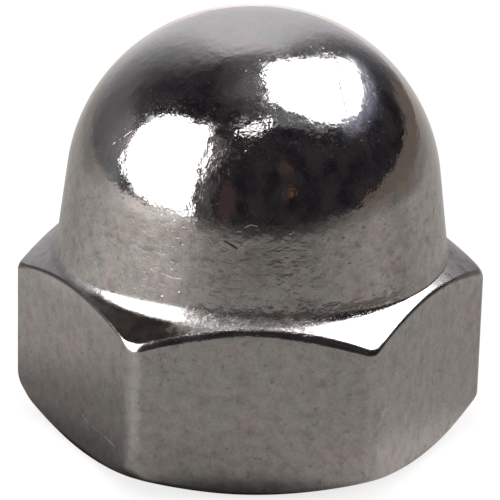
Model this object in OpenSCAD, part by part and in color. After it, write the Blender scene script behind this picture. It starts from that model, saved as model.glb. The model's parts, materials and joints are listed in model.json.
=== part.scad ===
// Domed cap nut, turned and tapped from one hexagonal bar.
// Millimetres. The origin is the centre of the bearing face, and +Z points out through the dome.

/* [Hexagon] */
// Distance across two opposite flats
across_flats = 17; // [14:0.1:24]
// Height of each flat, from the bearing face to the top of its arc
flat_height = 7.4; // [5:0.1:12]
// Radius of the six upright corners
corner_r = 0.5; // [0.2:0.05:1.5]

/* [Chamfers] */
// How far the bearing face's rim lies inside the middle of each flat
bearing_inset = 0.5; // [0.1:0.05:1.5]
// Slope of the lower chamfer, up from the bearing face
lower_chamfer_angle = 27; // [15:1:40]
// Slope of the upper chamfer, down from the neck
upper_chamfer_angle = 32.5; // [20:0.5:45]

/* [Neck] */
// How far the neck's foot lies inside the middle of each flat
neck_inset = 0.35; // [0.3:0.05:1.5]
// Height of the neck, from its foot to the dome
neck_height = 3.55; // [1.5:0.05:8]
// How much the neck's radius shrinks from its foot to the dome
neck_taper = 0.45; // [0:0.05:0.6]
// Radius of the hollow between the neck and the upper chamfer
neck_fillet_r = 0.6; // [0.2:0.1:1.5]

/* [Dome] */
// Distance from the axis to the centre of the shoulder's arc
dome_blunting = 0.3; // [0.1:0.05:0.7]
// How much larger the crown's arc is than the shoulder's
crown_flattening = 1.5; // [0.75:0.05:4]

/* [Threaded hole] */
// Outer diameter of the screw that fits
thread_d = 10; // [6:0.5:12]
// Pitch of the screw thread
thread_pitch = 1.5; // [1:0.25:1.75]
// Metal left between the drill's point and the crown
crown_wall = 2; // [1:0.1:6]
// Full angle of the drill's point
drill_point_angle = 118; // [90:1:140]
// How much wider the countersunk mouth is than the screw
mouth_clearance = 0.8; // [0.2:0.1:2]
// Full angle of the countersink
mouth_angle = 90; // [80:5:120]

/* [Hidden] */
$fn = 96;

metal = [0.75, 0.74, 0.72];
overrun = 1;
// Every arc stands this far proud of what it touches, so that the two cross and join cleanly.
seam = 0.001;

flat_r = across_flats / 2;
corner_angle = 60;
corner_reach = (flat_r - corner_r) / cos(corner_angle / 2);

bearing_r = flat_r - bearing_inset;
blank_r = corner_reach + corner_r + overrun;
lower_chamfer_top = (blank_r - bearing_r) * tan(lower_chamfer_angle);
upper_chamfer_foot = flat_height - (blank_r - flat_r) * tan(upper_chamfer_angle);

// The neck leans in towards the dome, and the dome starts at the same lean.
neck_foot = [flat_r - neck_inset, flat_height + neck_inset * tan(upper_chamfer_angle)];
neck_top = neck_foot + [-neck_taper, neck_height];
neck_lean = atan(neck_taper / neck_height);

// The crown's arc is centred on the axis, and the shoulder's arc touches it from inside.
shoulder_r = (neck_top[0] - dome_blunting) / cos(neck_lean);
shoulder_centre = neck_top - shoulder_r * heading(neck_lean);
crown_r = shoulder_r + crown_flattening;
crown_centre = [0, shoulder_centre[1] - sqrt(pow(crown_flattening, 2) - pow(dome_blunting, 2))];
crown_rim = crown_centre + crown_r * heading(acos(dome_blunting / crown_flattening));
nut_height = crown_centre[1] + crown_r;

// The thread's crests stand where the tapping drill leaves them, one pitch inside the screw's diameter.
thread_core_r = (thread_d - thread_pitch) / 2;
drill_point_height = thread_core_r / tan(drill_point_angle / 2);
hole_depth = nut_height - crown_wall - drill_point_height;
mouth_r = (thread_d + mouth_clearance) / 2;
mouth_depth = (mouth_r - thread_core_r) / tan(mouth_angle / 2);

function heading(angle) = [cos(angle), sin(angle)];

// Material that fills an inside corner up to an arc touching both of its sides
module inside_fillet(corner, r, side_a, side_b) {
    half = (side_b - side_a) / 2;
    out = heading((side_a + side_b) / 2);
    centre = corner + (r - seam) / sin(half) * out;
    difference() {
        polygon([
            corner - r * out,
            corner + r / tan(half) * heading(side_a),
            centre,
            corner + r / tan(half) * heading(side_b)
        ]);
        translate(centre) circle(r = r);
    }
}

// Half section of the dome above the neck
module dome_section() {
    intersection() {
        translate(shoulder_centre + [seam, 0]) circle(r = shoulder_r);
        square([blank_r, nut_height]);
    }
    intersection() {
        translate(crown_centre) circle(r = crown_r);
        polygon([
            [0, 0],
            crown_rim,
            [crown_rim[0], nut_height + overrun],
            [0, nut_height + overrun]
        ]);
    }
}

// Half section of the turned blank, before the hexagon's flats
module blank_section() {
    polygon([
        [0, 0],
        [bearing_r, 0],
        [blank_r, lower_chamfer_top],
        [blank_r, upper_chamfer_foot],
        neck_foot,
        neck_top,
        [0, neck_top[1]]
    ]);
    inside_fillet(neck_foot, neck_fillet_r, -upper_chamfer_angle, 90 + neck_lean);
    dome_section();
}

// Outline of the hexagonal bar, with two flats square to Y
module bar_section() {
    half_corner = corner_angle / 2;
    polygon([
        for (i = [0 : 5], side = [-half_corner, half_corner])
            corner_reach * heading(i * corner_angle) + corner_r * heading(i * corner_angle + side)
    ]);
    for (i = [0 : 5])
        rotate(i * corner_angle)
            translate([corner_reach + seam, 0])
                circle(r = corner_r);
}

// Everything that the drill and the countersink take away
module hole() {
    cylinder(r = thread_core_r, h = hole_depth);
    translate([0, 0, hole_depth])
        cylinder(r1 = thread_core_r, r2 = 0, h = drill_point_height);
    cylinder(r1 = mouth_r, r2 = thread_core_r, h = mouth_depth);
}

module cap_nut() {
    color(metal)
        difference() {
            intersection() {
                rotate_extrude() blank_section();
                translate([0, 0, -overrun])
                    linear_extrude(height = nut_height + 2 * overrun) bar_section();
            }
            hole();
        }
}

cap_nut();
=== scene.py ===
"""Domed cap nut in polished plate on a white floor, mirroring a dark studio with two softboxes."""

import json
import math

import bpy
from mathutils import Matrix, Vector


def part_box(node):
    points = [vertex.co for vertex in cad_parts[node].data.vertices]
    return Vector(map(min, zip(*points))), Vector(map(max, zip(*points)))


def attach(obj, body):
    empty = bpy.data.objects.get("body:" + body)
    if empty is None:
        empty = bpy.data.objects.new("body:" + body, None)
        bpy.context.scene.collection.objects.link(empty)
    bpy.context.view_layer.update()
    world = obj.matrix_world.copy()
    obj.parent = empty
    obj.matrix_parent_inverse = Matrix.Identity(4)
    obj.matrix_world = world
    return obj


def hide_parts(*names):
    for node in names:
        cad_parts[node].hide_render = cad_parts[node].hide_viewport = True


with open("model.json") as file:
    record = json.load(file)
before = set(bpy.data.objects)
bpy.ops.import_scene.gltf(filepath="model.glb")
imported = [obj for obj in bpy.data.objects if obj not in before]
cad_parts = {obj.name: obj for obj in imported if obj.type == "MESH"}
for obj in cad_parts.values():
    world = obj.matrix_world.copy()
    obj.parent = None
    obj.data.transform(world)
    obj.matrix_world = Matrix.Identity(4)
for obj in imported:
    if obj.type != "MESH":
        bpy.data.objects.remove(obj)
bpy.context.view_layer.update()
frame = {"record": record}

MM = 0.001
UP = Vector((0, 0, 1))

# ------------------------------------------------------------------ sizes, in millimetres
mounts = {mount["name"]: mount for mount in frame["record"]["mounts"]}
nut_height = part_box("cap_nut")[1].z / MM

flat_r = abs(mounts["spanner_flat_front"]["pos_m"][1]) / MM
flat_height = 7.4
corner_angle = math.radians(60)

bearing_inset = 0.5
bearing_r = flat_r - bearing_inset
lower_chamfer = math.radians(27)
upper_chamfer = math.radians(32.5)

neck_inset = 0.35
neck_height = 3.55
neck_taper = 0.45
neck_foot = Vector((flat_r - neck_inset, flat_height + neck_inset * math.tan(upper_chamfer)))
neck_top = neck_foot + Vector((-neck_taper, neck_height))
neck_lean = math.atan2(neck_taper, neck_height)

dome_blunting = 0.3
crown_flattening = 1.5
shoulder_r = (neck_top.x - dome_blunting) / math.cos(neck_lean)
crown_r = shoulder_r + crown_flattening
crown_centre = Vector((0, nut_height - crown_r))
crown_start = math.acos(dome_blunting / crown_flattening)

thread_d = 10
thread_core_r = mounts["thread"]["dims"]["r_mm"]
thread_depth = thread_d / 2 - thread_core_r
thread_pitch = 1.5
thread_end = 11.9
crown_wall = 2
drill_point_angle = math.radians(118)
drill_slope = math.tan(drill_point_angle / 2)
hole_depth = nut_height - crown_wall - thread_core_r / drill_slope
mouth_clearance = 0.8
mouth_r = (thread_d + mouth_clearance) / 2
bore_start = 0.2

# Shares of the pitch
thread_crest = 0.26
thread_flank = 0.29

# ------------------------------------------------------------------ worn edges, in millimetres
mouth_edge_r = 0.08
rim_edge_r = 0.14
least_chamfer = 0.05

# Along the six flats and at the six corners, both from +X round to the left
corner_r = (0.8, 0.5, 0.5, 0.5, 0.9, 0.7)
upper_edge_r = (2.6, 0.4, 0.4, 0.22, 0.6, 0.3)
upper_corner_r = (0.6, 0.7, 0.7, 0.45, 0.6, 0.5)
corner_spread = tuple(math.radians(a) for a in (20, 6, 6, 6, 4, 6))
lower_edge_r = (0.16, 0.16, 0.3, 0.8, 0.28, 0.16)
lower_corner_r = (0.5, 0.6, 0.8, 1.4, 0.85, 0.6)

# Radius of the hollow at the neck's foot, at angles in degrees from +X round to the left
hollow_shape = (
    (0, 0.12),
    (60, 0.5),
    (120, 0.6),
    (180, 0.8),
    (220, 0.85),
    (250, 1.1),
    (275, 1.05),
    (300, 0.55),
    (314, 0.25),
    (322, 0.1),
    (360, 0.12),
)

# ------------------------------------------------------------------ surface, in millimetres
peel_height = 0.009
grit_height = 0.004
hollow_relief = 0.016
pit_depth = 0.006
scratch_depth = 0.004
scratch_sway = 0.12

# Pimples: cells per millimetre, share of the cells used, width and height
pimple_sizes = ((1.6, 0.3, 0.17, 0.007), (3.4, 0.25, 0.09, 0.0035))

green_plate = (0.612, 0.605, 0.583, 1)
pink_plate = (0.648, 0.600, 0.588, 1)
brown_tarnish = (0.50, 0.45, 0.41, 1)
dirt = (0.13, 0.115, 0.105, 1)
# Painted shade for the top edges of the left flats
edge_shade = (0.16, 0.14, 0.11, 1)
# Brownish tint for the cone's front left
cone_brown = (0.42, 0.32, 0.24, 1)
oil = (0.30, 0.27, 0.23, 1)

# Scratches: both ends and the width
bright_scratches = (
    ((-5.73, -3.98, 13.57), (-5.45, -4.1, 13.83), 0.035),
    ((-5.3, -4.17, 13.97), (-5.0, -4.27, 14.25), 0.022),
    ((-6.86, -5.12, 2.1), (-6.6, -5.57, 1.92), 0.05),
    ((-6.43, -5.86, 1.96), (-6.22, -6.23, 1.9), 0.07),
    ((-6.1, -6.43, 1.98), (-5.5, -7.47, 1.84), 0.05),
    ((-0.43, -7.63, 11.57), (-0.23, -7.62, 11.66), 0.04),
    ((-0.23, -7.62, 11.66), (0.01, -7.64, 11.59), 0.04),
)
dark_scratches = (
    ((3.06, -2.13, 16.86), (3.26, -2.72, 16.56), 0.04),
    ((3.23, -3.4, 16.27), (3.37, -4.04, 15.81), 0.045),
    ((3.37, -4.04, 15.81), (3.55, -4.51, 15.34), 0.035),
    ((-1.2, -7.63, 10.98), (-0.74, -7.72, 10.72), 0.06),
)

# Patches where the polish is rubbed coarse: centre, reach and how much coarser
rubbed_patches = (
    ((-1.5, -6.7, 13.8), 1.1, 2.2),
    ((-0.1, -5.9, 15.1), 0.9, 1.6),
    ((-2.6, -7.1, 11.8), 1.2, 1.2),
)

# ------------------------------------------------------------------ mesh density
columns_per_corner = 80
bore_column_step = 3
corner_crowding = 0.6
rows_per_pitch = 14
least_row = 0.001

mouth_rows = 3
base_rows = 4
rim_rows = 4
lower_cone_rows = 4
lower_edge_rows = 7
flat_rows = 12
upper_edge_rows = 11
upper_cone_rows = 5
hollow_rows = 12
neck_rows = 10
dome_rows = 44
crown_rows = 22


# ------------------------------------------------------------------ outline and section
def turn(angle):
    """Unit vector of the section at an angle above the horizontal."""
    return Vector((math.cos(angle), math.sin(angle)))


def smooth(share):
    """Eases a share from 0 to 1, and holds it there outside that range."""
    share = min(1, max(0, share))
    return share * share * (3 - 2 * share)


def nearest_corner(angle):
    """Number of the nearest corner of the hexagon, and how far off it the angle is."""
    corner = round(angle / corner_angle)
    return corner % 6, abs(angle - corner * corner_angle)


def hexagon_reach(angle):
    """Distance from the axis to the rounded hexagon, in the direction of an angle."""
    corner, off_corner = nearest_corner(angle)
    radius = corner_r[corner]
    centre = (flat_r - radius) / math.cos(corner_angle / 2)
    arc_end = math.atan2(radius / 2, centre + radius * math.cos(corner_angle / 2))
    if off_corner < arc_end:
        across = centre * math.sin(off_corner)
        return centre * math.cos(off_corner) + math.sqrt(radius**2 - across**2)
    return flat_r / math.cos(corner_angle / 2 - off_corner)


def worn_edge(angle, along_flat, at_corners):
    """Radius of a worn edge: the same all along the flats, and its own at each corner."""
    corner, off_corner = nearest_corner(angle)
    edge = along_flat[math.floor(angle / corner_angle) % 6]
    share = smooth(1 - off_corner / corner_spread[corner])
    return edge + (at_corners[corner] - edge) * share


def hollow_at(angle):
    """Radius of the hollow at the neck's foot in the direction of an angle."""
    place = math.degrees(angle) % 360
    for before, after in zip(hollow_shape, hollow_shape[1:]):
        if place <= after[0]:
            break
    share = smooth((place - before[0]) / (after[0] - before[0]))
    return before[1] + (after[1] - before[1]) * share


def column_angles():
    """Angles of the mesh's columns, closer together at the six corners."""
    angles = []
    for corner in range(6):
        for step in range(columns_per_corner):
            share = 2 * step / columns_per_corner - 1
            bent = corner_crowding * share + (1 - corner_crowding) * share**3
            angles.append((corner + bent / 2) * corner_angle)
    return angles


def straight(start, end, steps):
    """Points between two ends, without the ends."""
    return [start.lerp(end, i / steps) for i in range(1, steps)]


def arc(centre, radius, start, end, steps):
    """Points on an arc of the section, both ends included."""
    return [centre + radius * turn(start + (end - start) * i / steps) for i in range(steps + 1)]


def rounded(before, corner, after, radius, steps):
    """Points on the arc that rounds an outward corner of the section."""
    back = (before - corner).normalized()
    ahead = (after - corner).normalized()
    half = math.acos(back.dot(ahead)) / 2
    centre = corner + (back + ahead).normalized() * (radius / math.sin(half))
    start = math.atan2(back.x, -back.y)
    return arc(centre, radius, start, start + math.pi - 2 * half, steps)


def upper_edge(angle, reach):
    """Points over the top edge of a flat, up the chamfer and round the hollow to the neck."""
    hollow_r = hollow_at(angle)
    edge_r = worn_edge(angle, upper_edge_r, upper_corner_r)
    half = (math.pi / 2 + neck_lean + upper_chamfer) / 2
    hollow = neck_foot + turn(half - upper_chamfer) * (hollow_r / math.sin(half))
    radii = edge_r + hollow_r
    end = math.pi / 2 - upper_chamfer
    edge = Vector((reach - edge_r, 0))
    edge.y = neck_foot.y - (edge_r + math.cos(end) * (edge.x - neck_foot.x)) / math.sin(end)
    if (edge - hollow).dot(turn(-upper_chamfer)) < least_chamfer:
        edge.y = hollow.y - math.sqrt(radii**2 + least_chamfer**2 - (hollow.x - edge.x) ** 2)
        between = hollow - edge
        end = math.atan2(between.y, between.x) - math.atan2(least_chamfer, radii)
    over = arc(edge, edge_r, 0, end, upper_edge_rows)
    into = arc(hollow, -hollow_r, end, neck_lean, hollow_rows)
    return [*over, *straight(over[-1], into[0], upper_cone_rows), *into]


def outer_section(angle):
    """Half section from the mouth of the hole to the crown, in the direction of an angle."""
    reach = hexagon_reach(angle)
    countersink = Vector((thread_core_r, mouth_r - thread_core_r))
    mouth = Vector((mouth_r, 0))
    rim = Vector((bearing_r, 0))
    lower = Vector((reach, (reach - bearing_r) * math.tan(lower_chamfer)))
    upper = Vector((reach, flat_height))

    lower_r = worn_edge(angle, lower_edge_r, lower_corner_r)
    at_mouth = rounded(countersink, mouth, rim, mouth_edge_r, mouth_rows)
    at_rim = rounded(mouth, rim, lower, rim_edge_r, rim_rows)
    at_lower = rounded(rim, lower, upper, lower_r, lower_edge_rows)
    at_upper = upper_edge(angle, reach)
    shoulder_centre = neck_top - shoulder_r * turn(neck_lean)
    return [
        *at_mouth,
        *straight(at_mouth[-1], at_rim[0], base_rows),
        *at_rim,
        *straight(at_rim[-1], at_lower[0], lower_cone_rows),
        *at_lower,
        *straight(at_lower[-1], at_upper[0], flat_rows),
        *at_upper,
        *straight(at_upper[-1], neck_top, neck_rows),
        *arc(shoulder_centre, shoulder_r, neck_lean, crown_start, dome_rows),
        *arc(crown_centre, crown_r, crown_start, math.pi / 2, crown_rows)[1:-1],
    ]


# ------------------------------------------------------------------ tapped hole
def thread_rise(turns):
    """How far the thread's groove is cut at a place along the pitch: 0 at a crest, 1 at a root."""
    place = turns % 1
    if place < thread_crest:
        return 0.0
    if place < thread_crest + thread_flank:
        return (place - thread_crest) / thread_flank
    if place < 1 - thread_flank:
        return 1.0
    return (1 - place) / thread_flank


def bore_radius(angle, height):
    """Radius of the tapped hole at a height, with the countersink and the thread's run-out."""
    turns = height / thread_pitch - angle / math.tau
    run_out = min(1, max(0, (thread_end - height) / thread_pitch))
    groove = thread_core_r + thread_depth * thread_rise(turns) * run_out
    return max(groove, mouth_r - height)


def thread_heights(angle):
    """Heights of a column's points. They climb with the thread and stop at both of its ends."""
    rows = (math.ceil(thread_end / thread_pitch) + 2) * rows_per_pitch
    climb = [thread_pitch * (row / rows_per_pitch - 1 + angle / math.tau) for row in range(rows + 1)]
    return [min(thread_end, max(bore_start, height)) for height in climb]


# ------------------------------------------------------------------ the nut's mesh
def on_axis(angle, point):
    """Section point turned round the axis to an angle."""
    return Vector((point.x * math.cos(angle), point.x * math.sin(angle), point.y))


def next_round(ring):
    """The same ring of vertices, one place further round."""
    return [*ring[1:], ring[0]]


def strip(first, second):
    """Quads between two closed rings of vertices."""
    return list(zip(first, next_round(first), next_round(second), second))


def cap(ring, apex):
    """Triangles from a closed ring of vertices to one more."""
    return [(here, after, apex) for here, after in zip(ring, next_round(ring))]


def ring_of(points, angles, section_points):
    """Adds one point for each angle, and returns the ring of their numbers."""
    first = len(points)
    points.extend(on_axis(angle, point) for angle, point in zip(angles, section_points))
    return list(range(first, len(points)))


def outer_skin(angles, points, faces):
    """Adds the whole outside to the mesh, and returns the ring of vertices at the mouth."""
    sections = [outer_section(angle) for angle in angles]
    rings = [ring_of(points, angles, row) for row in zip(*sections)]
    for first, second in zip(rings, rings[1:]):
        faces.extend(strip(first, second))
    points.append(Vector((0, 0, nut_height)))
    faces.extend(cap(rings[-1], len(points) - 1))
    return rings[0]


def thread_columns(angles, start_ring, points):
    """Adds the thread's points, and returns each column's vertices from the mouth upwards."""
    columns = []
    for angle, vertex in zip(angles, start_ring):
        column = []
        below = bore_start
        for height in thread_heights(angle):
            if height - below > least_row:
                vertex = len(points)
                points.append(on_axis(angle, Vector((bore_radius(angle, height), height))))
                below = height
            column.append(vertex)
        columns.append(column)
    columns.append(columns[0][rows_per_pitch:])
    return columns


def join_mouth(mouth_ring, start_ring, faces):
    """Joins the outside's ring at the mouth to the coarser first ring of the hole."""
    step = bore_column_step
    for i, (here, after) in enumerate(zip(start_ring, next_round(start_ring))):
        edge = [mouth_ring[(i * step + k) % len(mouth_ring)] for k in range(step + 1)]
        faces.extend((here, edge[k + 1], edge[k]) for k in range(step))
        faces.append((here, after, edge[-1]))


def join_columns(columns, faces):
    """Joins neighbouring columns of the thread, with triangles where their points meet."""
    for left, right in zip(columns, columns[1:]):
        for low, high in zip(range(len(right)), range(1, len(right))):
            corners = (left[low], left[high], right[high], right[low])
            face = tuple(dict.fromkeys(corners))
            if len(face) > 2:
                faces.append(face)


def bore_skin(angles, mouth_ring, points, faces):
    """Adds the tapped hole to the mesh, joined to the ring of vertices at the mouth."""
    angles = angles[::bore_column_step]
    start = Vector((mouth_r - bore_start, bore_start))
    start_ring = ring_of(points, angles, [start] * len(angles))
    join_mouth(mouth_ring, start_ring, faces)

    columns = thread_columns(angles, start_ring, points)
    join_columns(columns, faces)

    top = [column[-1] for column in columns[:-1]]
    wall = ring_of(points, angles, [Vector((thread_core_r, hole_depth))] * len(angles))
    faces.extend(face[::-1] for face in strip(top, wall))
    points.append(Vector((0, 0, hole_depth + thread_core_r / drill_slope)))
    faces.extend(face[::-1] for face in cap(wall, len(points) - 1))


def build_nut():
    """The finished nut as one closed mesh."""
    angles = column_angles()
    points, faces = [], []
    mouth_ring = outer_skin(angles, points, faces)
    outside = len(faces)
    bore_skin(angles, mouth_ring, points, faces)
    mesh = bpy.data.meshes.new("cap_nut_finish")
    mesh.from_pydata([point * MM for point in points], [], faces)
    relief, tint = fine_relief(), tarnish()
    mesh.materials.append(plated_steel(relief, tint, scratch()))
    mesh.materials.append(tapped_bore(relief, tint))
    mesh.polygons.foreach_set("material_index", [int(i >= outside) for i in range(len(faces))])
    mesh.shade_smooth()
    piece = bpy.data.objects.new("cap_nut_finish", mesh)
    bpy.context.scene.collection.objects.link(piece)
    return piece


# ------------------------------------------------------------------ node helpers
def add(tree, kind, inputs=None, **settings):
    """Adds a node, then sets or links its inputs."""
    made = tree.nodes.new(kind)
    for name, value in settings.items():
        setattr(made, name, value)
    for name, value in (inputs or {}).items():
        if isinstance(value, bpy.types.NodeSocket):
            tree.links.new(value, made.inputs[name])
        else:
            made.inputs[name].default_value = value
    return made


def maths(tree, operation, *values):
    """Output of a Math node; each value is a number or another node's output."""
    return add(tree, "ShaderNodeMath", dict(enumerate(values)), operation=operation).outputs[0]


def folded(tree, operation, values):
    """One Math operation over any number of values."""
    result = values[0]
    for value in values[1:]:
        result = maths(tree, operation, result, value)
    return result


def product(tree, *values):
    """All the values multiplied."""
    return folded(tree, "MULTIPLY", values)


def total(tree, *values):
    """All the values added."""
    return folded(tree, "ADD", values)


def largest(tree, *values):
    """The largest of the values."""
    return folded(tree, "MAXIMUM", values)


def less(tree, mask, share):
    """1, less a share of a mask."""
    return maths(tree, "MULTIPLY_ADD", mask, -share, 1.0)


def vectors(tree, operation, *values):
    """Vector output of a Vector Math node."""
    return add(tree, "ShaderNodeVectorMath", dict(enumerate(values)), operation=operation).outputs[0]


def measure(tree, operation, *values):
    """Number output of a Vector Math node."""
    node = add(tree, "ShaderNodeVectorMath", dict(enumerate(values)), operation=operation)
    return node.outputs["Value"]


def stretched(tree, vector, factors):
    """A vector or colour multiplied by one factor, or by one for each of its parts."""
    factors = factors if isinstance(factors, tuple) else (factors, factors, factors)
    return vectors(tree, "MULTIPLY", vector, factors)


def parts_of(tree, vector):
    """The three parts of a vector."""
    parts = add(tree, "ShaderNodeSeparateXYZ", {"Vector": vector}).outputs
    return parts["X"], parts["Y"], parts["Z"]


def span(tree, value, low, high, at_low=0.0, at_high=1.0):
    """Eases from one number to another while a value goes from low to high."""
    inputs = {"Value": value, "From Min": low, "From Max": high, "To Min": at_low, "To Max": at_high}
    node = add(tree, "ShaderNodeMapRange", inputs, interpolation_type="SMOOTHSTEP")
    return node.outputs[0]


def blend(tree, share, first, second):
    """Mixes two colours."""
    node = add(tree, "ShaderNodeMix", {0: share, 6: first, 7: second}, data_type="RGBA")
    return node.outputs[2]


def clouds(tree, place, scale, detail=2.0):
    """Soft noise around 0.5, with its scale per millimetre."""
    node = add(tree, "ShaderNodeTexNoise", {"Vector": place, "Scale": scale, "Detail": detail})
    return node.outputs["Fac"]


def cells(tree, place, scale, channel):
    """Cells, by their number per millimetre: distance from the middle, and each cell's own chance."""
    found = add(tree, "ShaderNodeTexVoronoi", {"Vector": place, "Scale": scale}).outputs
    chances = add(tree, "ShaderNodeSeparateColor", {"Color": found["Color"]}).outputs
    return found["Distance"], chances[channel]


def ramp(tree, value, stops):
    """Colours along a value from 0 to 1; a stop's colour may be a single grey."""
    node = add(tree, "ShaderNodeValToRGB", {"Fac": value})
    for _ in stops[2:]:
        node.color_ramp.elements.new(0.5)
    for element, (position, colour) in zip(node.color_ramp.elements, stops):
        element.position = position
        element.color = (*colour, 1) if isinstance(colour, tuple) else (colour, colour, colour, 1)
    return node.outputs["Color"]


def new_material(name):
    """An empty material and its node tree."""
    material = bpy.data.materials.new(name)
    material.use_nodes = True
    material.node_tree.nodes.clear()
    return material, material.node_tree


def new_group(name, inputs, output, kind):
    """A node group with one output: its tree and its inputs."""
    tree = bpy.data.node_groups.new(name, "ShaderNodeTree")
    for label, input_kind in inputs:
        tree.interface.new_socket(name=label, in_out="INPUT", socket_type=input_kind)
    tree.interface.new_socket(name=output, in_out="OUTPUT", socket_type=kind)
    return tree, add(tree, "NodeGroupInput").outputs


def use(tree, group, **inputs):
    """Sets a node group into a tree and returns its output."""
    node = add(tree, "ShaderNodeGroup", node_tree=group)
    for name, value in inputs.items():
        if isinstance(value, bpy.types.NodeSocket):
            tree.links.new(value, node.inputs[name])
        else:
            node.inputs[name].default_value = value
    return node.outputs[0]


def millimetres(tree):
    """The place on the piece, in millimetres."""
    return stretched(tree, add(tree, "ShaderNodeTexCoord").outputs["Object"], 1000)


# ------------------------------------------------------------------ effects the materials share
def pimples(tree, place, scale, share, width, height):
    """Height of scattered round pimples: cells per millimetre, share of them used, width and height."""
    distance, chance = cells(tree, place, scale, 0)
    chosen = maths(tree, "LESS_THAN", chance, share)
    return product(tree, chosen, span(tree, distance, 0.02, width * scale / 2, height, 0.0))


def fine_relief():
    """Height, in millimetres, of the plating's orange peel, its grit and scattered pimples."""
    inputs = [("Place", "NodeSocketVector"), ("Strength", "NodeSocketFloat")]
    tree, given = new_group("fine_relief", inputs, "Height", "NodeSocketFloat")
    place = given["Place"]
    patchy = span(tree, clouds(tree, place, 0.6), 0.35, 0.65, 0.45, 1.2)
    peel = product(tree, clouds(tree, place, 2.4, 1.0), peel_height)
    grit = product(tree, clouds(tree, place, 8.0, 2.0), grit_height)
    rough = product(tree, total(tree, peel, grit), patchy, given["Strength"])
    raised = [pimples(tree, place, *size) for size in pimple_sizes]
    add(tree, "NodeGroupOutput", {"Height": total(tree, rough, *raised)})
    return tree


def veins(tree, place, moved):
    """Mask of broken lines along the ridges of soft noise."""
    ridge = maths(tree, "ABSOLUTE", maths(tree, "SUBTRACT", clouds(tree, place, 1.5, 4.0), 0.5))
    broken = span(tree, clouds(tree, moved, 1.9, 2.0), 0.4, 0.6)
    return product(tree, span(tree, ridge, 0.0, 0.04, 1.0, 0.0), broken)


def tarnish():
    """Colour of the plating: faint pink, green and brown patches under a fine mottle."""
    inputs = [("Place", "NodeSocketVector"), ("Mottle", "NodeSocketFloat")]
    tree, given = new_group("tarnish", inputs, "Color", "NodeSocketColor")
    place, strength = given["Place"], given["Mottle"]
    moved = vectors(tree, "ADD", place, (7.0, 3.0, 5.0))
    patches = span(tree, clouds(tree, place, 0.9, 4.0), 0.4, 0.62)
    brown = span(tree, clouds(tree, moved, 1.3, 4.0), 0.55, 0.7)
    base = blend(tree, patches, green_plate, pink_plate)
    tinted = blend(tree, product(tree, brown, strength, 2.2), base, brown_tarnish)
    coarse = maths(tree, "SUBTRACT", clouds(tree, moved, 2.2, 5.0), 0.5)
    fine = maths(tree, "SUBTRACT", clouds(tree, moved, 11.0, 2.0), 0.5)
    uneven = total(tree, product(tree, coarse, 2.0), product(tree, fine, 1.5))
    mottle = maths(tree, "MULTIPLY_ADD", uneven, strength, 1.0)
    lines = product(tree, veins(tree, place, moved), strength)
    spots = product(tree, span(tree, clouds(tree, moved, 3.4, 1.0), 0.68, 0.74), strength)
    shade = product(tree, mottle, less(tree, lines, 0.5), less(tree, spots, 0.8))
    add(tree, "NodeGroupOutput", {"Color": vectors(tree, "MULTIPLY", tinted, shade)})
    return tree


def scratch():
    """Mask of a scratch between two places, a little wavy."""
    inputs = [(name, "NodeSocketVector") for name in ("Place", "From", "To")]
    tree, given = new_group("scratch", [*inputs, ("Width", "NodeSocketFloat")], "Mask", "NodeSocketFloat")
    place = given["Place"]
    waves = add(tree, "ShaderNodeTexNoise", {"Vector": place, "Scale": 3.5, "Detail": 2.0})
    sway = vectors(tree, "SUBTRACT", waves.outputs["Color"], (0.5, 0.5, 0.5))
    swayed = vectors(tree, "ADD", place, stretched(tree, sway, scratch_sway))
    along = vectors(tree, "SUBTRACT", given["To"], given["From"])
    beyond = vectors(tree, "SUBTRACT", swayed, given["From"])
    reach = measure(tree, "DOT_PRODUCT", beyond, along)
    length = measure(tree, "DOT_PRODUCT", along, along)
    share = largest(tree, maths(tree, "DIVIDE", reach, length), 0.0)
    nearest = vectors(tree, "MULTIPLY", along, maths(tree, "MINIMUM", share, 1.0))
    gap = maths(tree, "DIVIDE", measure(tree, "DISTANCE", beyond, nearest), given["Width"])
    add(tree, "NodeGroupOutput", {"Mask": span(tree, gap, 0.3, 1.0, 1.0, 0.0)})
    return tree


# ------------------------------------------------------------------ masks on the nut
# Heights above the bench, distances from the axis and distances across, in millimetres
def pits(tree, place, height):
    """Mask of the small dark pits and short smears round the dome's lower part and the neck."""
    low = product(tree, span(tree, height, 8.0, 8.6), span(tree, height, 12.3, 11.0))
    distance, chance = cells(tree, stretched(tree, place, (1.0, 1.0, 1.9)), 2.6, 1)
    gathered = span(tree, clouds(tree, place, 0.7), 0.45, 0.65, 0.04, 0.22)
    chosen = maths(tree, "LESS_THAN", chance, product(tree, low, gathered))
    spots = product(tree, chosen, span(tree, distance, 0.0, 0.34, 0.8, 0.0))
    flattened = stretched(tree, place, (1.0, 1.0, 2.0))
    smears = span(tree, clouds(tree, flattened, 2.4, 5.0), 0.5, 0.72, 0.0, 0.6)
    drifts = span(tree, clouds(tree, place, 0.5), 0.4, 0.6, 0.4, 1.0)
    return largest(tree, spots, product(tree, smears, low, drifts))


def specks(tree, place, height):
    """Mask of fine pale specks on the dome, in drifts."""
    distance, chance = cells(tree, place, 4.6, 2)
    drifts = span(tree, clouds(tree, place, 0.8, 3.0), 0.4, 0.66, 0.05, 0.5)
    chosen = maths(tree, "LESS_THAN", chance, product(tree, drifts, span(tree, height, 10.5, 11.5)))
    return product(tree, chosen, span(tree, distance, 0.03, 0.18, 1.0, 0.0))


def top_edges(tree, height, radial, tilt):
    """Mask of the rounded top edges of the flats, all below the slope of the chamfer."""
    slope = math.tan(upper_chamfer)
    chamfer_level = neck_foot.y + neck_foot.x * slope
    level = maths(tree, "MULTIPLY_ADD", radial, slope, height)
    below = span(tree, level, chamfer_level + 0.03, chamfer_level - 0.03)
    rounding = product(tree, span(tree, tilt, 0.04, 0.16), span(tree, tilt, 0.82, 0.7))
    return product(tree, rounding, below, span(tree, height, 6.0, 6.3))


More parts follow.
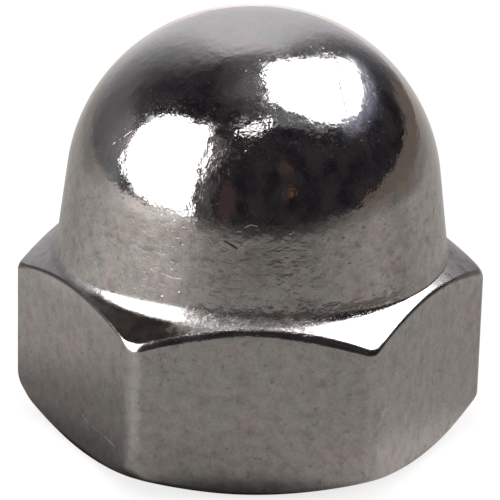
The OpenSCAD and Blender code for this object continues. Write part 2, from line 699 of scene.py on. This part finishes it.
def foot_masks(tree, place, across, height, radial):
    """Masks on the cone at the neck's foot: where it is dull, where lumpy and where tinted brownish."""
    cone = product(
        tree,
        span(tree, height, 8.15, 7.75),
        span(tree, height, 6.5, 7.0),
        span(tree, radial, 7.9, 8.05),
    )
    blotches = span(tree, clouds(tree, place, 3.0, 4.0), 0.35, 0.65, 0.55, 1.0)
    shifted = maths(tree, "SUBTRACT", across, 1.2)
    ragged = maths(tree, "MULTIPLY_ADD", clouds(tree, place, 2.2, 4.0), 2.4, shifted)
    front = product(tree, span(tree, ragged, -3.5, -2.4), span(tree, ragged, 3.6, 1.8))
    side = product(tree, span(tree, across, -3.0, -3.6), span(tree, across, -6.2, -7.3, 0.14, 0.8))
    right = span(tree, across, 6.6, 7.6, 0.0, 0.45)
    left = product(tree, span(tree, across, -7.2, -6.0), span(tree, across, -3.0, -3.6, 0.0, 0.45))
    dull = product(tree, cone, largest(tree, product(tree, front, blotches), side, right))
    lumpy = product(tree, cone, largest(tree, front, left))
    middle = product(tree, span(tree, across, -2.0, -3.4), span(tree, across, -6.4, -5.4))
    return dull, lumpy, product(tree, cone, middle, blotches)


def foot_dirt(tree, place, height, across):
    """Mask of the dirt in a ragged band round the neck's foot, broken at the left."""
    flattened = stretched(tree, place, (1.0, 1.0, 2.6))
    ragged = span(tree, clouds(tree, flattened, 2.6, 4.0), 0.3, 0.7, -0.22, 0.22)
    level = total(tree, height, ragged)
    speckled = span(tree, clouds(tree, flattened, 6.0, 3.0), 0.36, 0.56, 0.25, 1.0)
    band = product(tree, span(tree, level, 7.72, 7.86), span(tree, level, 8.32, 8.08), speckled)
    scattered = span(tree, clouds(tree, place, 5.0, 3.0), 0.48, 0.6)
    under = product(tree, span(tree, level, 7.3, 7.5), span(tree, level, 7.9, 7.7, 0.0, 0.6), scattered)
    from_left = span(tree, across, -3.2, -2.2, 0.12, 1.0)
    to_right = span(tree, across, 6.6, 5.4, 0.12, 1.0)
    return product(tree, largest(tree, band, under), from_left, to_right)


def rubbed(tree, place):
    """How coarse the polish has been rubbed, 0 where it is sound."""
    patches = [
        span(tree, measure(tree, "DISTANCE", place, centre), 0.0, reach, more, 0.0)
        for centre, reach, more in rubbed_patches
    ]
    return total(tree, *patches)


def scratches(tree, group, place, ends):
    """Mask of a list of scratches."""
    masks = [use(tree, group, Place=place, From=start, To=end, Width=width) for start, end, width in ends]
    return largest(tree, *masks)


# ------------------------------------------------------------------ the nut's materials
def bare_metal(material, tree, colour, roughness, height):
    """Finishes a metal material from its colour, its roughness and a height in millimetres."""
    bump = add(tree, "ShaderNodeBump", {"Height": height, "Distance": MM, "Strength": 1.0})
    inputs = {"Base Color": colour, "Metallic": 1.0, "Roughness": roughness, "Normal": bump.outputs[0]}
    shader = add(tree, "ShaderNodeBsdfPrincipled", inputs)
    add(tree, "ShaderNodeOutputMaterial", {"Surface": shader.outputs[0]})
    return material


def steel_colour(tree, tint, place, height, colour_overlays):
    """Colour of the plating under its colour overlays, each a mask, its strength and its colour; they include
    painted shade.
    """
    low = span(tree, height, 13.0, 10.5, 0.07, 0.34)
    on_flats = span(tree, height, 7.9, 7.3, 0.0, -0.05)
    colour = use(tree, tint, Place=place, Mottle=total(tree, low, on_flats))
    for mask, strength, overlay_colour in colour_overlays:
        colour = blend(tree, product(tree, mask, strength), colour, overlay_colour)
    return colour


def steel_roughness(tree, place, height, rougher):
    """Roughness of the plating, and what each of some masks adds to it."""
    smooth_dome = span(tree, height, 10.2, 12.0, 0.15, 0.07)
    worn = span(tree, clouds(tree, place, 1.1, 3.0), 0.35, 0.7, -0.02, 0.05)
    grain = span(tree, clouds(tree, place, 9.0, 3.0), 0.45, 0.7)
    fine = product(tree, grain, span(tree, height, 10.5, 12.0, 0.0, 0.08))
    roughness = total(tree, smooth_dome, worn, fine)
    for mask, more in rougher:
        roughness = maths(tree, "MULTIPLY_ADD", mask, more, roughness)
    return roughness


def plated_steel(relief, tint, scratch_mask):
    """Polished plate: clean on the dome, duller below, rough and dirty round the neck's foot."""
    material, tree = new_material("plated_steel")
    place = millimetres(tree)
    across, deep, height = parts_of(tree, place)
    _, _, tilt = parts_of(tree, add(tree, "ShaderNodeTexCoord").outputs["Normal"])
    radial = maths(tree, "SQRT", total(tree, product(tree, across, across), product(tree, deep, deep)))

    edges = top_edges(tree, height, radial, tilt)
    dull, lumpy, brownish = foot_masks(tree, place, across, height, radial)
    dull = product(tree, dull, less(tree, edges, 1.0))
    # A brownish tint on the cone's front left, where it faces up
    brown = product(tree, brownish, span(tree, tilt, 0.7, 0.8))
    # Painted shade: darker along the top edges of the left flats
    line = product(tree, edges, span(tree, across, -4.9, -5.6))
    pitted = pits(tree, place, height)
    dirty = foot_dirt(tree, place, height, across)
    dust = specks(tree, place, height)
    coarse = rubbed(tree, place)
    bright = scratches(tree, scratch_mask, place, bright_scratches)
    dark = scratches(tree, scratch_mask, place, dark_scratches)
    soiled = largest(tree, product(tree, pitted, 0.5), product(tree, dirty, 0.62), dark)

    # Dirt, painted shade along the left flats' top edges, and a brownish tint on the cone
    colour_overlays = ((soiled, 1.0, dirt), (line, 0.6, edge_shade), (brown, 0.9, cone_brown))
    colour = steel_colour(tree, tint, place, height, colour_overlays)
    rougher = ((dull, 0.28), (soiled, 0.22), (bright, 0.24), (dust, 0.22), (coarse, 0.03))
    roughness = steel_roughness(tree, place, height, rougher)

    strength = total(tree, span(tree, height, 9.5, 12.3, 0.4, 1.0), coarse)
    grain = use(tree, relief, Place=place, Strength=strength)
    lumps = product(tree, clouds(tree, place, 6.0, 4.0), lumpy, hollow_relief)
    sunk = product(tree, largest(tree, pitted, dirty), -pit_depth)
    cut = product(tree, largest(tree, bright, dark), -scratch_depth)
    return bare_metal(material, tree, colour, roughness, total(tree, grain, lumps, sunk, cut))


def tapped_bore(relief, tint):
    """Cut steel inside the tapped hole: duller, with a trace of oil."""
    material, tree = new_material("tapped_bore")
    place = millimetres(tree)
    oily = span(tree, clouds(tree, place, 0.9, 3.0), 0.4, 0.65, 0.0, 0.6)
    colour = blend(tree, oily, use(tree, tint, Place=place, Mottle=0.3), oil)
    turning = stretched(tree, place, (0.4, 0.4, 9.0))
    roughness = span(tree, clouds(tree, turning, 1.5, 2.0), 0.3, 0.7, 0.2, 0.38)
    return bare_metal(material, tree, colour, roughness, use(tree, relief, Place=place, Strength=1.5))


# ------------------------------------------------------------------ the studio's materials
def glow(name, colour, strength=1.0):
    """A self-lit card; the colour may be a colour or a function that makes it in the card's tree."""
    material, tree = new_material(name)
    shade = colour(tree) if callable(colour) else (*colour, 1)
    light = add(tree, "ShaderNodeEmission", {"Color": shade, "Strength": strength})
    add(tree, "ShaderNodeOutputMaterial", {"Surface": light.outputs[0]})
    return material


def seen_ray(tree):
    """1 for the rays that show the background: straight to the camera, mirrored or through glass."""
    path = add(tree, "ShaderNodeLightPath").outputs
    return largest(tree, path["Is Camera Ray"], path["Is Glossy Ray"], path["Is Transmission Ray"])


def white_floor():
    """White paper: it takes the nut's shadow near by and fades into the white background."""
    material, tree = new_material("white_floor")
    distance = measure(tree, "LENGTH", add(tree, "ShaderNodeTexCoord").outputs["Object"])
    paper = {"Base Color": (0.8, 0.8, 0.8, 1), "Roughness": 1.0, "Specular IOR Level": 0.0}
    paint = add(tree, "ShaderNodeBsdfPrincipled", paper)
    level = span(tree, distance, 0.03, 0.4, 0.76, 1.0)
    light = add(tree, "ShaderNodeEmission", {"Strength": product(tree, seen_ray(tree), level)})
    surface = add(tree, "ShaderNodeAddShader", {0: paint.outputs[0], 1: light.outputs[0]})
    add(tree, "ShaderNodeOutputMaterial", {"Surface": surface.outputs[0]})
    return material


def white_world():
    """Plain white background, and a plain soft light from all round."""
    world = bpy.data.worlds.new("studio")
    bpy.context.scene.world = world
    world.use_nodes = True
    tree = world.node_tree
    tree.nodes.clear()
    fill = add(tree, "ShaderNodeBackground", {"Color": (1, 1, 1, 1), "Strength": fill_strength})
    white = add(tree, "ShaderNodeBackground", {"Color": (1, 1, 1, 1), "Strength": 1.0})
    mix = add(tree, "ShaderNodeMixShader", {0: seen_ray(tree), 1: fill.outputs[0], 2: white.outputs[0]})
    add(tree, "ShaderNodeOutputWorld", {"Surface": mix.outputs[0]})


def around(tree, spot):
    """Share of a turn round the nut, from 0 behind it by way of the left, 0.5 in front, to 1."""
    across, deep, _ = parts_of(tree, spot)
    angle = maths(tree, "ARCTAN2", across, product(tree, deep, -1.0))
    return maths(tree, "MULTIPLY_ADD", angle, 1 / math.tau, 0.5)


def painted_bench_shade(tree):
    """Painted light and shade on the grey bench card: paler at the sides and behind, dark far in front, and a
    painted contact shadow close to the nut.
    """
    spot = add(tree, "ShaderNodeTexCoord").outputs["Object"]
    distance = measure(tree, "LENGTH", spot)
    turn_share = around(tree, spot)
    # Innermost greys: the painted contact shade nearest the nut
    close = ramp(tree, turn_share, bench_touch_shade)
    for start, end, greys in bench_zones:
        zone = span(tree, distance, start * MM, end * MM)
        close = blend(tree, zone, close, ramp(tree, turn_share, greys))
    far = stretched(tree, ramp(tree, turn_share, bench_far), bench_far_gain)
    fade = blend(tree, span(tree, distance, 0.06, 0.115), (1, 1, 1, 1), far)
    # Painted contact shadow on the bench right round the nut's foot
    painted_contact_shadow = span(tree, distance, 0.0082, 0.009, 0.1, 1.0)
    shade = vectors(tree, "MULTIPLY", vectors(tree, "MULTIPLY", close, fade), painted_contact_shadow)
    return stretched(tree, shade, bench_tint)


def blue_haze(tree, turn_share, rise):
    """Faint blue light under the right softbox, brightest at the softbox's own lower edge."""
    below = maths(tree, "MULTIPLY_ADD", turn_share, 0.68, maths(tree, "SUBTRACT", rise, 0.96))
    near = product(tree, span(tree, below, -0.15, 0.0), span(tree, rise, 0.7, 0.6))
    start = span(tree, turn_share, 0.7, 0.77)
    end = span(tree, turn_share, 0.92, 0.885)
    return stretched(tree, product(tree, near, near, start, end), blue_light)


def tent_shade(tree):
    """The dark room: a pale soft light behind, and dimmer ones at the left and overhead."""
    spot = add(tree, "ShaderNodeTexCoord").outputs["Object"]
    _, _, up = parts_of(tree, vectors(tree, "NORMALIZE", spot))
    rise = product(tree, maths(tree, "ARCSINE", up), 2 / math.pi)
    turn_share = around(tree, spot)
    back = product(tree, ramp(tree, turn_share, tent_back), ramp(tree, rise, tent_back_rise))
    left = product(tree, ramp(tree, turn_share, tent_left), ramp(tree, rise, tent_left_rise))
    pale = stretched(tree, total(tree, back, left, ramp(tree, rise, tent_top)), pale_light)
    light = vectors(tree, "ADD", pale, blue_haze(tree, turn_share, rise))
    # Painted folds: the tent's dim light varies between its two levels
    drape = span(tree, clouds(tree, stretched(tree, spot, 9.0), 1.0, 4.0), 0.35, 0.65)
    return vectors(tree, "ADD", light, blend(tree, drape, dark_painted_light, dim_painted_light))


# ------------------------------------------------------------------ studio
studio_r = 0.6
tent_r = studio_r * 1.2
spot_r = studio_r * 0.98
side_r = 0.35
behind_r = studio_r * 1.1
floor_r = 6.0
floor_level = -0.02 * MM
bench_level = -0.01 * MM
disc_sides = 64
spot_sides = 24
tent_sides = 48
tent_steps = 16

softbox_strength = 4.0
fill_strength = 0.35
pale_light = (0.98, 0.98, 1.02)
blue_light = (0.36, 0.37, 0.5)
# Painted dim light of the tent's cloth, in its darker and its paler folds
dark_painted_light = (0.013, 0.012, 0.016, 1)
dim_painted_light = (0.035, 0.031, 0.035, 1)
bench_tint = (1.04, 0.985, 0.94)
bench_far_gain = 2.0

# Painted light and shade of the bench, as greys round the nut by share of a turn: 0 behind it, 0.25 to the
# left, 0.5 in front, 1 behind again
bench_sides = (
    (0, 0.86), (0.042, 0.59), (0.083, 0.41), (0.15, 0.34), (0.208, 0.42), (0.25, 0.51), (0.292, 0.53),
    (0.375, 0.45), (0.417, 0.37), (0.458, 0.29), (0.583, 0.27), (0.667, 0.32), (0.708, 0.36),
    (0.75, 0.29), (0.792, 0.36), (0.875, 0.38), (0.917, 0.47), (0.958, 0.67), (1, 0.86),
)
bench_near = (
    (0, 0.5), (0.12, 0.3), (0.17, 0.3), (0.2, 0.35), (0.25, 0.34), (0.3, 0.29), (0.36, 0.33), (0.39, 0.41),
    (0.43, 0.38), (0.455, 0.275), (0.55, 0.28), (0.59, 0.33), (0.62, 0.34), (0.65, 0.32), (0.75, 0.31),
    (0.83, 0.32), (1, 0.5),
)
bench_foot = (
    (0, 0.5), (0.12, 0.25), (0.17, 0.19), (0.25, 0.18), (0.37, 0.19), (0.39, 0.3), (0.43, 0.27),
    (0.455, 0.21), (0.52, 0.26), (0.55, 0.31), (0.59, 0.36), (0.65, 0.37), (0.72, 0.33), (0.83, 0.32),
    (1, 0.5),
)
# Painted contact shade of the bench, nearest the nut
bench_touch_shade = (
    (0, 0.35), (0.12, 0.15), (0.17, 0.1), (0.37, 0.09), (0.4, 0.03), (0.43, 0.03), (0.455, 0.03),
    (0.52, 0.06), (0.55, 0.09), (0.6, 0.36), (0.65, 0.47), (0.72, 0.44), (0.83, 0.3), (1, 0.35),
)
bench_far = (
    (0, 0.7), (0.083, 0.38), (0.17, 0.33), (0.25, 0.55), (0.292, 0.8), (0.333, 1.0), (0.375, 0.65),
    (0.41, 0.2), (0.46, 0.13), (0.5, 0.08), (0.583, 0.1), (0.667, 0.28), (0.73, 0.34), (0.79, 0.25),
    (0.875, 0.37), (0.93, 0.47), (1, 0.7),
)

# Where one ring of painted bench greys gives way to the next, in millimetres from the axis
bench_zones = ((9.2, 11.8, bench_foot), (11.8, 17.0, bench_near), (17.0, 30.0, bench_sides))

# Light on the tent, by share of a turn, and by share of the rise from the bench to overhead
tent_back = (
    (0, 0.69), (0.042, 0.67), (0.083, 0.30), (0.125, 0.09), (0.16, 0.02), (0.25, 0.0), (0.86, 0.0),
    (0.9, 0.05), (0.925, 0.12), (0.94, 0.27), (0.958, 0.56), (0.978, 0.66), (1, 0.69),
)
tent_back_rise = ((0, 1.0), (0.5, 1.0), (0.6, 0.95), (0.67, 0.75), (0.73, 0.25), (0.8, 0.12), (1, 0.1))
tent_left = ((0.1, 0), (0.135, 0.06), (0.167, 0.11), (0.2, 0.17), (0.236, 0.24), (0.25, 0.12), (0.27, 0))
tent_left_rise = ((0, 0.9), (0.06, 0.8), (0.14, 1.0), (0.24, 1.0), (0.29, 0.65), (0.34, 0.15), (0.42, 0))
tent_top = ((0.75, 0), (0.86, 0.04), (0.95, 0.12), (1, 0.15))

# Studio cards, by the directions of their corners in degrees: round from the front, and up
left_softbox = [
    (-39, 1), (-42, 50), (-48, 56), (-60, 53), (-75, 49), (-88, 43), (-96, 31), (-95, 14), (-86, 6), (-72, 3),
]
right_softbox = [
    (35, 78), (46, 72), (60, 58), (75, 47), (90, 42), (105, 38), (120, 35), (135, 32), (143, 31),
    (144, 59), (157, 68), (168, 75), (160, 82), (120, 84), (45, 82),
]
overhead_strip = [(-24, 56), (5, 59), (22, 64), (20, 67), (2, 64), (-20, 61)]
softbox_frame = [(8, 80), (12, 67), (30, 60), (45, 56), (60, 48), (75, 42), (80, 50), (60, 65), (30, 83)]
softbox_flap = [(-40, 24), (-28, 27), (-25, 40), (-27, 52), (-40, 52)]
low_flap = [(-40, 0), (-26, 0), (-27, 27), (-40, 24)]
low_wall = [(64, 0), (72, 5), (90, 8), (110, 7), (126, 8), (136, 13), (148, 10), (150, 0)]
red_curtain = [(-23, 2), (-13, 2), (-12, 17), (-16, 26), (-21, 23)]


def heading(azimuth, elevation):
    """Direction from the nut: azimuth 0 is towards the camera and 90 to the right, in degrees."""
    a = math.radians(azimuth)
    e = math.radians(elevation)
    return Vector((math.sin(a) * math.cos(e), -math.cos(a) * math.cos(e), math.sin(e)))


def staged(name, points, faces, material):
    """Adds a mesh that is part of the studio."""
    mesh = bpy.data.meshes.new(name)
    mesh.from_pydata(points, [], faces)
    mesh.materials.append(material)
    made = bpy.data.objects.new(name, mesh)
    bpy.context.scene.collection.objects.link(made)
    return made


def only_mirrored(made):
    """Keeps a studio piece for the reflections in the metal, unseen by the camera itself."""
    made.visible_camera = False
    made.visible_diffuse = False
    made.visible_shadow = False


def card(name, outline, material, distance=studio_r):
    """A card whose corners are given as directions from the nut."""
    points = [heading(*corner) * distance for corner in outline]
    only_mirrored(staged(name, points, [range(len(points))], material))


def spot_card(name, azimuth, elevation, width, material, distance=spot_r):
    """A small round card in one direction, its width in degrees."""
    turns = [math.tau * i / spot_sides for i in range(spot_sides)]
    outline = [(azimuth + width / 2 * math.cos(t), elevation + width / 2 * math.sin(t)) for t in turns]
    card(name, outline, material, distance)


def dark_tent():
    """The dark room round the bench, from the floor to overhead: a self-lit tent with painted dim light."""
    rows = [90 * j / tent_steps for j in range(tent_steps)]
    points = [heading(360 * i / tent_sides, row) * tent_r for row in rows for i in range(tent_sides)]
    rings = [range(j * tent_sides, (j + 1) * tent_sides) for j in range(tent_steps)]
    faces = [face for first, second in zip(rings, rings[1:]) for face in strip(first, second)]
    points.append(UP * tent_r)
    faces.extend(cap(rings[-1], len(points) - 1))
    only_mirrored(staged("dark_tent", points, faces, glow("dark_painted_light", tent_shade)))


def disc(name, radius, height, material):
    """A round sheet on the floor."""
    turns = [math.tau * i / disc_sides for i in range(disc_sides)]
    points = [(radius * math.cos(t), radius * math.sin(t), height) for t in turns]
    return staged(name, points, [range(disc_sides)], material)


def build_softboxes():
    """The white softboxes and the strip overhead."""
    cloth = glow("softbox_cloth", (1, 1, 1), softbox_strength)
    card("left_softbox", left_softbox, cloth)
    card("right_softbox", right_softbox, cloth)
    card("overhead_strip", overhead_strip, cloth)


def build_dim_cards():
    """Self-lit cards with painted dim light for the things behind the softboxes, and three small warm lamps.
    """
    card("softbox_frame", softbox_frame, glow("frame_painted_light", (0.16, 0.16, 0.17)), behind_r)
    card("softbox_flap", softbox_flap, glow("flap_painted_light", (0.13, 0.12, 0.12)), behind_r)
    card("low_flap", low_flap, glow("low_flap_painted_light", (0.085, 0.075, 0.075)), behind_r)
    card("low_wall", low_wall, glow("wall_painted_light", (0.17, 0.14, 0.12)), behind_r)
    card("red_curtain", red_curtain, glow("curtain_painted_light", (0.062, 0.04, 0.042)), behind_r)
    spot_card("low_lamp", 21.5, 19, 7, glow("warm_lamp", (0.14, 0.075, 0.045)))
    spot_card("high_lamp", 21, 34.5, 8, glow("dim_lamp", (0.07, 0.045, 0.038)))
    spot_card("side_lamp", 100, 1.0, 3.6, glow("orange_lamp", (0.3, 0.17, 0.09)), side_r)


def build_studio():
    """The white floor the camera sees, and the dark studio the metal mirrors."""
    white_world()
    disc("floor", floor_r, floor_level, white_floor())
    # The bench card glows with painted light and shade, for the metal to mirror
    only_mirrored(disc("bench_card", tent_r, bench_level, glow("painted_bench_light", painted_bench_shade)))
    dark_tent()
    build_softboxes()
    build_dim_cards()


# ------------------------------------------------------------------ camera
camera_aim = Vector((-0.1, -1.083, 7.849)) * MM
camera_distance = 163.14 * MM
camera_azimuth = math.radians(1.116)
camera_elevation = math.radians(22.9)
camera_roll = math.radians(-1.49)
camera_lens = 284.03


def build_camera():
    """A long lens in front of the nut, a little to the left and looking down on it."""
    level = Vector((math.sin(camera_azimuth), math.cos(camera_azimuth), 0)) * math.cos(camera_elevation)
    ahead = level - UP * math.sin(camera_elevation)
    camera = bpy.data.objects.new("camera", bpy.data.cameras.new("camera"))
    camera.data.lens = camera_lens
    camera.data.sensor_width = 36
    camera.data.clip_start = 0.01
    camera.location = camera_aim - ahead * camera_distance
    upright = ahead.to_track_quat("-Z", "Y").to_matrix()
    camera.rotation_mode = "QUATERNION"
    camera.rotation_quaternion = (upright @ Matrix.Rotation(-camera_roll, 3, "Z")).to_quaternion()
    bpy.context.scene.collection.objects.link(camera)
    bpy.context.scene.camera = camera


build_camera()
build_studio()
nut = build_nut()
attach(nut, "root")
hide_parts("cap_nut")

bpy.context.scene.view_settings.view_transform = "Standard"
